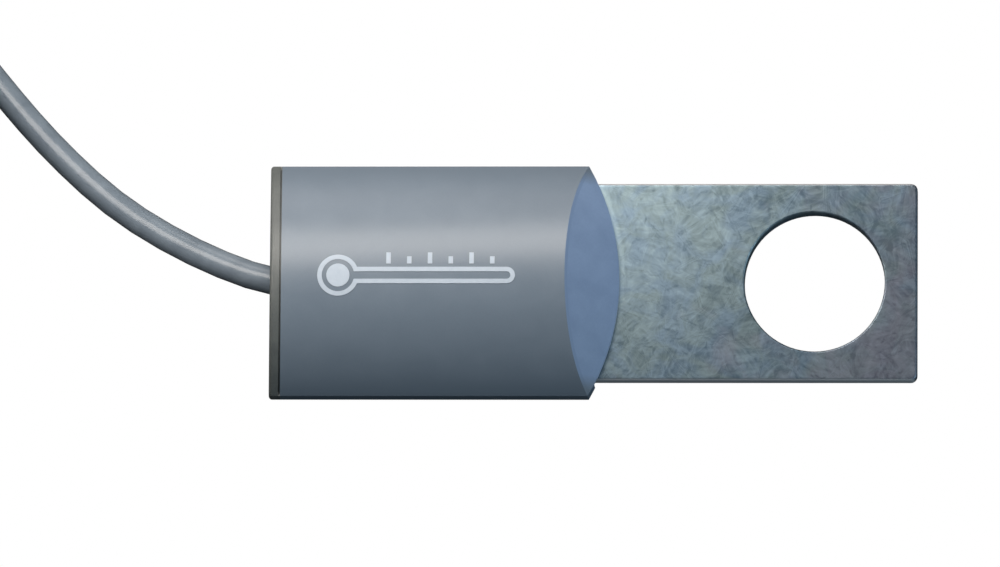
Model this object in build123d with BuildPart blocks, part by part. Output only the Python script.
from build123d import *

import os
from math import cos, pi, radians, sin, sqrt, tan

# Battery temperature sensor: a tinned lug plate that bolts under a battery terminal, with a
# moulded body over its rear half, a thermistor potted inside, and a thin two-core cable.
#
# Millimetres, +Z up. The origin is the centre of the stud hole at the underside of the plate.
# +X runs along the plate to its free end, and the underside of plate and body lie on Z = 0.

os.makedirs("parts", exist_ok=True)

# ---------------------------------------------------------------- driving dimensions

# Lug plate
LUG_WIDTH = 14.9
LUG_THICKNESS = 1.6
LUG_TIP_X = 7.7
LUG_REAR_X = -38.0
LUG_CORNER_RADIUS = 0.5
LUG_EDGE_RADIUS = 0.2
STUD_HOLE_DIAMETER = 10.5
HOLE_RIM_RADIUS = 0.15
KEY_HOLE_DIAMETER = 2.6
KEY_HOLES_X = (-26.0, -34.0)

# Body: upright side walls, an arched top, a round sloping nose and a leaning rear end
BODY_WIDTH = 17.4
WALL_HEIGHT = 2.0
ARCH_RISE = 3.8
BODY_REAR_X = -40.95
REAR_LEAN = 4.0
NOSE_X = -14.6
NOSE_RADIUS = 17.5
NOSE_LEAN = 46.0
SHELL_WALL = 0.9
FRONT_LIP = 0.2
FRONT_CAP_THICKNESS = 1.2
REAR_FLANGE = 0.7
REAR_GROOVE = 0.14
REAR_GROOVE_DEPTH = 0.2
REAR_SPIGOT_X = -38.4
REAR_EDGE_RADIUS = 0.25

# Sensing element and wiring inside the body
BEAD_X = -20.5
BEAD_DIAMETER = 2.4
BEAD_LENGTH = 3.4
BEAD_GAP = 0.3
PAD_BASE_RADIUS = 2.8
PAD_TOP_RADIUS = 1.9
PAD_HEIGHT = 0.9
THERMISTOR_LEAD_DIAMETER = 0.3
BEAD_LEAD_Y = 0.5
SPLICE_OFFSET = 1.6
SPLICE_FRONT_X = -27.8
SPLICE_LENGTH = 2.4
SPLICE_DIAMETER = 0.9
SLEEVE_LENGTH = 4.8
SLEEVE_DIAMETER = 1.6
CORE_DIAMETER = 0.8
POTTING_REAR_X = -38.3
POTTING_RECESS = 0.1

# Cable
CABLE_DIAMETER = 2.1
CABLE_AXIS_Z = 3.1
CABLE_AXIS_Y = -0.75
CABLE_INNER_X = -34.5
FLOOR_Z = CABLE_DIAMETER / 2
CRIMP_DIAMETER = 2.9
CRIMP_FRONT_X = -34.8
CRIMP_LENGTH = 2.0
GROMMET_DIAMETER = 3.1
GROMMET_Y = -0.4
TURN_SHARE = 0.45

# Coil of the rest of the cable, its tie and the two stripped ends that lie on it
COIL_X = -91.6
COIL_Y = 6.8
COIL_INNER_RADIUS = 8.8
COIL_OUTER_RADIUS = 29.2
COIL_HEIGHT = 21.8
COIL_EDGE_RADIUS = 1.0
TIE_AZIMUTH = 100.0
TIE_WIDTH = 5.0
TIE_THICKNESS = 0.7
TIE_BITE = 0.3
TIE_TAB_LENGTH = 12.0
TAIL_Y = COIL_Y - 17.6
TAIL_END_X = COIL_X - 6.0
END_SLEEVE_DIAMETER = 2.9
END_SLEEVE_LENGTH = 8.0
END_SLEEVE_OVERLAP = 3.0
TAIL_Z = COIL_HEIGHT + END_SLEEVE_DIAMETER / 2
TAIL_CORE_DIAMETER = 0.9
TAIL_CORE_GAP = 1.0
FERRULE_SPREAD = 3.0
COLLAR_DIAMETER = 2.6
COLLAR_MOUTH_DIAMETER = 1.8
COLLAR_LENGTH = 6.0
COLLAR_STRAIGHT = 2.0
COLLAR_LIFT = 0.3
COLLAR_X = TAIL_END_X + 13.0
COLLAR_SEAT = 4.5
FERRULE_DIAMETER = 1.3
FERRULE_LENGTH = 8.0
FERRULE_FLARE_DIAMETER = 1.5

# ---------------------------------------------------------------- worked-out dimensions

BODY_HEIGHT = WALL_HEIGHT + ARCH_RISE
ARCH_RADIUS = ((BODY_WIDTH / 2) ** 2 + ARCH_RISE**2) / (2 * ARCH_RISE)
ARCH_CENTRE_Z = BODY_HEIGHT - ARCH_RADIUS
BEAD_Z = LUG_THICKNESS + BEAD_GAP + BEAD_DIAMETER / 2
SPLICE_REAR_X = SPLICE_FRONT_X - SPLICE_LENGTH
COLLAR_Z = COIL_HEIGHT + COLLAR_LIFT + COLLAR_DIAMETER / 2

# The cable leaves the rear end, drops to the surface and curves away to the coil.
CABLE_ROUTE = [
    (CABLE_INNER_X, CABLE_AXIS_Y, CABLE_AXIS_Z),
    (-39.2, CABLE_AXIS_Y, CABLE_AXIS_Z),
    (-45.4, 1.5, 2.0),
    (-52.0, 5.3, FLOOR_Z),
    (-57.1, 9.9, FLOOR_Z),
    (-61.3, 14.7, FLOOR_Z),
    (-65.1, 19.6, FLOOR_Z),
]

# The cable's other end comes off the top of the coil and lies across it.
TAIL_ROUTE = [
    (COIL_X - 27.6, COIL_Y - 3.0, TAIL_Z),
    (COIL_X - 25.6, COIL_Y - 9.6, TAIL_Z),
    (COIL_X - 20.5, COIL_Y - 15.0, TAIL_Z),
    (COIL_X - 13.5, TAIL_Y + 0.2, TAIL_Z),
    (TAIL_END_X, TAIL_Y, TAIL_Z),
]


# ---------------------------------------------------------------- shared shapes


def save(piece, node):
    """Labels a finished piece and writes it as its own file."""
    piece.part.label = node
    export_step(piece.part, f"parts/{node}.step")


def arch_section(inset, base):
    """The body's cross-section, inset from its outline, with its flat side at height base."""
    half = BODY_WIDTH / 2 - inset
    radius = ARCH_RADIUS - inset
    shoulder = ARCH_CENTRE_Z + sqrt(radius**2 - half**2)
    with BuildSketch() as section:
        with BuildLine():
            Polyline((half, shoulder), (half, base), (-half, base), (-half, shoulder))
            ThreePointArc((-half, shoulder), (0, ARCH_CENTRE_Z + radius), (half, shoulder))
        make_face()
    return section.sketch


def arch_block(x_start, x_end, inset, base):
    """A length of the body's cross-section, from x_start to x_end."""
    with BuildPart() as block:
        with BuildSketch(Plane.YZ.offset(x_start)):
            add(arch_section(inset, base))
        extrude(amount=x_end - x_start)
    return block.part


def nose_envelope(setback):
    """Round-fronted block: a short upright wall, and above it the same round front leaning back."""
    front_x = NOSE_X - setback
    top = BODY_HEIGHT + 1.0
    lean = radians(NOSE_LEAN)
    with BuildPart() as envelope:
        for base, height, direction in (
            (-1.0, WALL_HEIGHT + 1.0, (0, 0, 1)),
            (WALL_HEIGHT, (top - WALL_HEIGHT) / cos(lean), (-sin(lean), 0, cos(lean))),
        ):
            with BuildSketch(Plane.XY.offset(base)):
                with Locations((front_x - NOSE_RADIUS, 0)):
                    Circle(NOSE_RADIUS)
            extrude(amount=height, dir=direction)
    return envelope.part


def rear_plane(depth):
    """Plane parallel to the leaning rear face, at that depth in front of it."""
    lean = radians(REAR_LEAN)
    return Plane(
        origin=(BODY_REAR_X + depth, 0, 0),
        x_dir=(0, 1, 0),
        z_dir=(cos(lean), 0, -sin(lean)),
    )


def rod(x_start, x_end, y, z, diameter, end_diameter=None):
    """Round bar along X, or a cone where the end has a diameter of its own."""
    with BuildPart() as bar:
        with BuildSketch(Plane.YZ.offset(x_start)):
            with Locations((y, z)):
                Circle(diameter / 2)
        if end_diameter is None:
            extrude(amount=x_end - x_start)
        else:
            with BuildSketch(Plane.YZ.offset(x_end)):
                with Locations((y, z)):
                    Circle(end_diameter / 2)
            loft()
    return bar.part


def bend_radii(route):
    """The radius of each corner of a route: as large as its two runs allow."""
    points = [Vector(*point) for point in route]
    radii = []
    for before, corner, after in zip(points, points[1:], points[2:]):
        run_in = corner - before
        run_out = after - corner
        half_turn = radians(run_in.get_angle(run_out)) / 2
        radii.append(TURN_SHARE * min(run_in.length, run_out.length) / tan(half_turn))
    return radii


def cord(route, diameter, label):
    """Round cord along straight runs joined by tangent arcs."""
    radii = bend_radii(route)
    with BuildPart() as tube:
        with BuildLine() as path:
            FilletPolyline(*route, radius=radii)
        with BuildSketch(Plane(origin=path.line @ 0, z_dir=path.line % 0)):
            Circle(diameter / 2)
        sweep()
    length = path.wire().length
    expected = length * pi * diameter**2 / 4
    print(
        f"{label}: length {length:.2f} mm,"
        f" radii {', '.join(f'{radius:.1f}' for radius in radii)} mm,"
        f" volume over section times length {tube.part.volume / expected:.5f}"
    )
    return tube


# ---------------------------------------------------------------- lug plate

with BuildPart() as lug_plate:
    with BuildSketch(Plane.XY):
        with Locations(((LUG_TIP_X + LUG_REAR_X) / 2, 0)):
            RectangleRounded(LUG_TIP_X - LUG_REAR_X, LUG_WIDTH, LUG_CORNER_RADIUS)
    extrude(amount=LUG_THICKNESS)
    rim = lug_plate.faces().filter_by(Axis.Z).edges()
    fillet(rim, radius=LUG_EDGE_RADIUS)
    with Locations((0, 0, LUG_THICKNESS)):
        Hole(STUD_HOLE_DIAMETER / 2)
    top_edges = lug_plate.faces().sort_by(Axis.Z)[-1].edges()
    hole_rim = top_edges.filter_by(GeomType.CIRCLE).sort_by(lambda edge: edge.radius)[-1]
    fillet(hole_rim, radius=HOLE_RIM_RADIUS)
    with Locations(*[(x, 0, LUG_THICKNESS) for x in KEY_HOLES_X]):
        Hole(KEY_HOLE_DIAMETER / 2)
save(lug_plate, "lug_plate")

# ---------------------------------------------------------------- cable and its fittings

cable_lead = cord(CABLE_ROUTE, CABLE_DIAMETER, "cable_lead")
save(cable_lead, "cable_lead")

# Crimp collar that keeps the cable from being pulled out
crimp_solid = rod(
    CRIMP_FRONT_X, CRIMP_FRONT_X - CRIMP_LENGTH, CABLE_AXIS_Y, CABLE_AXIS_Z, CRIMP_DIAMETER
)
with BuildPart() as cable_crimp:
    add(crimp_solid)
    add(cable_lead.part, mode=Mode.SUBTRACT)
save(cable_crimp, "cable_crimp")

# Soft bush in the rear cap, which the cable bends through
grommet_solid = rod(REAR_SPIGOT_X, BODY_REAR_X - 1.0, GROMMET_Y, CABLE_AXIS_Z, GROMMET_DIAMETER)
with BuildPart() as cable_grommet:
    add(grommet_solid)
    add(cable_lead.part, mode=Mode.SUBTRACT)
    split(bisect_by=rear_plane(0), keep=Keep.TOP)
save(cable_grommet, "cable_grommet")

# ---------------------------------------------------------------- body

outline_block = arch_block(BODY_REAR_X, NOSE_X, 0, 0)
cavity_block = arch_block(BODY_REAR_X, NOSE_X, SHELL_WALL, 0)
cap_block = arch_block(NOSE_X - NOSE_RADIUS, NOSE_X, FRONT_LIP, LUG_THICKNESS)
nose = nose_envelope(0)
nose_back = nose_envelope(FRONT_CAP_THICKNESS)

# Nose piece: closes the front above the plate, inside the shell's thin lip
with BuildPart() as front_cap:
    add(cap_block)
    add(nose, mode=Mode.INTERSECT)
    add(nose_back, mode=Mode.SUBTRACT)
save(front_cap, "front_cap")

# Arched shell, open below, at the rear and at the nose
with BuildPart() as housing_shell:
    add(outline_block)
    add(cavity_block, mode=Mode.SUBTRACT)
    add(nose, mode=Mode.INTERSECT)
    add(front_cap.part, mode=Mode.SUBTRACT)
    split(bisect_by=rear_plane(REAR_FLANGE + REAR_GROOVE), keep=Keep.TOP)
save(housing_shell, "housing_shell")

# Rear cap: a flange the size of the body, a neck that leaves a narrow groove over the arch between
# it and the shell, and a spigot that plugs into the shell
neck_block = arch_block(BODY_REAR_X, REAR_SPIGOT_X, REAR_GROOVE_DEPTH, 0)
spigot_block = arch_block(BODY_REAR_X, REAR_SPIGOT_X, SHELL_WALL, 0)
with BuildPart() as flange:
    add(outline_block)
    split(bisect_by=rear_plane(0), keep=Keep.TOP)
    fillet(flange.faces().sort_by(Axis.X)[0].edges(), radius=REAR_EDGE_RADIUS)
    split(bisect_by=rear_plane(REAR_FLANGE), keep=Keep.BOTTOM)
with BuildPart() as neck:
    add(neck_block)
    with BuildSketch(Plane.YZ.offset(BODY_REAR_X)):
        Rectangle(BODY_WIDTH, WALL_HEIGHT, align=(Align.CENTER, Align.MIN))
    extrude(amount=REAR_SPIGOT_X - BODY_REAR_X)
    split(bisect_by=rear_plane(REAR_FLANGE), keep=Keep.TOP)
    split(bisect_by=rear_plane(REAR_FLANGE + REAR_GROOVE), keep=Keep.BOTTOM)
with BuildPart() as spigot:
    add(spigot_block)
    split(bisect_by=rear_plane(REAR_FLANGE + REAR_GROOVE), keep=Keep.TOP)
with BuildPart() as rear_cap:
    add(flange.part)
    add(neck.part)
    add(spigot.part)
    add(grommet_solid, mode=Mode.SUBTRACT)
save(rear_cap, "rear_cap")

# ---------------------------------------------------------------- sensing element

# Capsule-shaped bead, turned about its own axis
with BuildPart() as thermistor_bead:
    with BuildSketch(Plane.XZ) as half_capsule:
        with Locations((BEAD_X, BEAD_Z)):
            SlotOverall(BEAD_LENGTH, BEAD_DIAMETER)
        with Locations((BEAD_X, BEAD_Z - BEAD_DIAMETER / 2)):
            Rectangle(BEAD_LENGTH + 1.0, BEAD_DIAMETER, mode=Mode.SUBTRACT)
    revolve(axis=Axis((BEAD_X, 0, BEAD_Z), (1, 0, 0)))
save(thermistor_bead, "thermistor_bead")

# Mound of heat-conducting adhesive that the bead sits in
with BuildPart() as thermal_pad:
    with BuildSketch(Plane.XY.offset(LUG_THICKNESS)):
        with Locations((BEAD_X, 0)):
            Circle(PAD_BASE_RADIUS)
    with BuildSketch(Plane.XY.offset(LUG_THICKNESS + PAD_HEIGHT)):
        with Locations((BEAD_X, 0)):
            Circle(PAD_TOP_RADIUS)
    loft()
    add(thermistor_bead.part, mode=Mode.SUBTRACT)
save(thermal_pad, "thermal_pad")

# Two mirrored sides: bead wire, splice, heat-shrink sleeve and insulated core
bead_rear_x = BEAD_X - BEAD_LENGTH / 2 + 0.15
wiring = []
for side_name, side in (("left", 1), ("right", -1)):
    splice_y = CABLE_AXIS_Y + side * SPLICE_OFFSET
    lead_route = [
        (bead_rear_x, side * BEAD_LEAD_Y, BEAD_Z),
        (-23.6, side * BEAD_LEAD_Y, BEAD_Z),
        (-25.8, splice_y, CABLE_AXIS_Z),
        (SPLICE_FRONT_X, splice_y, CABLE_AXIS_Z),
    ]
    whole_lead = cord(lead_route, THERMISTOR_LEAD_DIAMETER, f"thermistor_lead_{side_name}")
    with BuildPart() as thermistor_lead:
        add(whole_lead.part)
        add(thermistor_bead.part, mode=Mode.SUBTRACT)
    save(thermistor_lead, f"thermistor_lead_{side_name}")

    with BuildPart() as splice:
        add(rod(SPLICE_FRONT_X, SPLICE_REAR_X, splice_y, CABLE_AXIS_Z, SPLICE_DIAMETER))
    save(splice, f"splice_{side_name}")

    core_y = CABLE_AXIS_Y + side * (CORE_DIAMETER / 2 + 0.03)
    core_route = [
        (SPLICE_REAR_X, splice_y, CABLE_AXIS_Z),
        (-31.4, splice_y, CABLE_AXIS_Z),
        (-33.3, core_y, CABLE_AXIS_Z),
        (CABLE_INNER_X, core_y, CABLE_AXIS_Z),
    ]
    inner_core = cord(core_route, CORE_DIAMETER, f"inner_core_{side_name}")
    save(inner_core, f"inner_core_{side_name}")

    sleeve_front_x = SPLICE_FRONT_X + (SLEEVE_LENGTH - SPLICE_LENGTH) / 2
    sleeve_solid = rod(
        sleeve_front_x,
        sleeve_front_x - SLEEVE_LENGTH,
        splice_y,
        CABLE_AXIS_Z,
        SLEEVE_DIAMETER,
    )
    with BuildPart() as splice_sleeve:
        add(sleeve_solid)
        add(thermistor_lead.part, mode=Mode.SUBTRACT)
        add(splice.part, mode=Mode.SUBTRACT)
        add(inner_core.part, mode=Mode.SUBTRACT)
    save(splice_sleeve, f"splice_sleeve_{side_name}")
    wiring += [thermistor_lead.part, sleeve_solid, inner_core.part]

# Epoxy that fills the body around all of it and rivets through the plate's key holes
pot_block = arch_block(POTTING_REAR_X, NOSE_X, SHELL_WALL, LUG_THICKNESS)
with BuildPart() as potting:
    add(pot_block)
    add(nose_back, mode=Mode.INTERSECT)
    with BuildSketch(Plane.XY.offset(POTTING_RECESS)):
        with Locations(*[(x, 0) for x in KEY_HOLES_X]):
            Circle(KEY_HOLE_DIAMETER / 2)
    extrude(amount=LUG_THICKNESS - POTTING_RECESS)
    add(thermal_pad.part, mode=Mode.SUBTRACT)
    add(thermistor_bead.part, mode=Mode.SUBTRACT)
    for piece in wiring:
        add(piece, mode=Mode.SUBTRACT)
    add(crimp_solid, mode=Mode.SUBTRACT)
    add(cable_lead.part, mode=Mode.SUBTRACT)
save(potting, "potting")

# ---------------------------------------------------------------- coil and its tie

tie_angle = radians(TIE_AZIMUTH)
TIE_PLANE = Plane(
    origin=(COIL_X, COIL_Y, 0),
    x_dir=(cos(tie_angle), sin(tie_angle), 0),
    z_dir=(sin(tie_angle), -cos(tie_angle), 0),
)
bundle_width = COIL_OUTER_RADIUS - COIL_INNER_RADIUS - 2 * TIE_BITE
bundle_height = COIL_HEIGHT - TIE_THICKNESS - TIE_BITE
bundle_middle = ((COIL_OUTER_RADIUS + COIL_INNER_RADIUS) / 2, TIE_THICKNESS + bundle_height / 2)
tab_x = COIL_OUTER_RADIUS - TIE_BITE + TIE_THICKNESS * 1.5
with BuildPart() as coil_tie:
    with BuildSketch(TIE_PLANE):
        with Locations(bundle_middle):
            RectangleRounded(
                bundle_width + 2 * TIE_THICKNESS, bundle_height + 2 * TIE_THICKNESS, 1.6
            )
            RectangleRounded(bundle_width, bundle_height, 0.9, mode=Mode.SUBTRACT)
        with Locations((tab_x, bundle_middle[1])):
            Rectangle(TIE_THICKNESS, TIE_TAB_LENGTH)
    extrude(amount=TIE_WIDTH / 2, both=True)
save(coil_tie, "coil_tie")

with BuildPart() as cable_coil:
    with BuildSketch(Plane.XZ.offset(-COIL_Y)):
        with Locations((COIL_X + bundle_middle[0], COIL_HEIGHT / 2)):
            RectangleRounded(
                COIL_OUTER_RADIUS - COIL_INNER_RADIUS, COIL_HEIGHT, COIL_EDGE_RADIUS
            )
    revolve(axis=Axis((COIL_X, COIL_Y, 0), (0, 0, 1)))
    add(coil_tie.part, mode=Mode.SUBTRACT)
save(cable_coil, "cable_coil")

# ---------------------------------------------------------------- stripped end on the coil

cable_tail = cord(TAIL_ROUTE, CABLE_DIAMETER, "cable_tail")
save(cable_tail, "cable_tail")

tail_cores = []
for colour, side in (("red", 1), ("black", -1)):
    near_y = TAIL_Y + side * TAIL_CORE_GAP / 2
    far_y = TAIL_Y + side * FERRULE_SPREAD / 2
    core_route = [
        (TAIL_END_X, near_y, TAIL_Z),
        (TAIL_END_X + 6.0, near_y, TAIL_Z),
        (TAIL_END_X + 10.5, far_y, COLLAR_Z),
        (COLLAR_X + COLLAR_SEAT, far_y, COLLAR_Z),
    ]
    tail_core = cord(core_route, TAIL_CORE_DIAMETER, f"tail_core_{colour}")
    save(tail_core, f"tail_core_{colour}")
    tail_cores.append(tail_core.part)

    # Crimped pin over the bared strands, flared inside its collar
    flare_x = COLLAR_X + COLLAR_SEAT
    pin_x = COLLAR_X + COLLAR_LENGTH
    with BuildPart() as ferrule_pin:
        add(rod(pin_x, pin_x + FERRULE_LENGTH, far_y, COLLAR_Z, FERRULE_DIAMETER))
        fillet(ferrule_pin.faces().sort_by(Axis.X)[-1].edges(), radius=0.2)
        add(rod(flare_x, pin_x, far_y, COLLAR_Z, FERRULE_FLARE_DIAMETER, FERRULE_DIAMETER))
    save(ferrule_pin, f"ferrule_pin_{colour}")

    # Flared insulating collar over the core's end and the back of the pin
    with BuildPart() as ferrule_collar:
        add(rod(COLLAR_X, COLLAR_X + COLLAR_STRAIGHT, far_y, COLLAR_Z, COLLAR_DIAMETER))
        add(
            rod(
                COLLAR_X + COLLAR_STRAIGHT,
                COLLAR_X + COLLAR_LENGTH,
                far_y,
                COLLAR_Z,
                COLLAR_DIAMETER,
                COLLAR_MOUTH_DIAMETER,
            )
        )
        add(tail_core.part, mode=Mode.SUBTRACT)
        add(ferrule_pin.part, mode=Mode.SUBTRACT)
    save(ferrule_collar, f"ferrule_collar_{colour}")

# Heat-shrink sleeve over the end of the jacket, where the two cores come out
sleeve_start_x = TAIL_END_X - END_SLEEVE_OVERLAP
with BuildPart() as jacket_end_sleeve:
    add(
        rod(
            sleeve_start_x,
            sleeve_start_x + END_SLEEVE_LENGTH,
            TAIL_Y,
            TAIL_Z,
            END_SLEEVE_DIAMETER,
        )
    )
    add(cable_tail.part, mode=Mode.SUBTRACT)
    for core in tail_cores:
        add(core, mode=Mode.SUBTRACT)
save(jacket_end_sleeve, "jacket_end_sleeve")
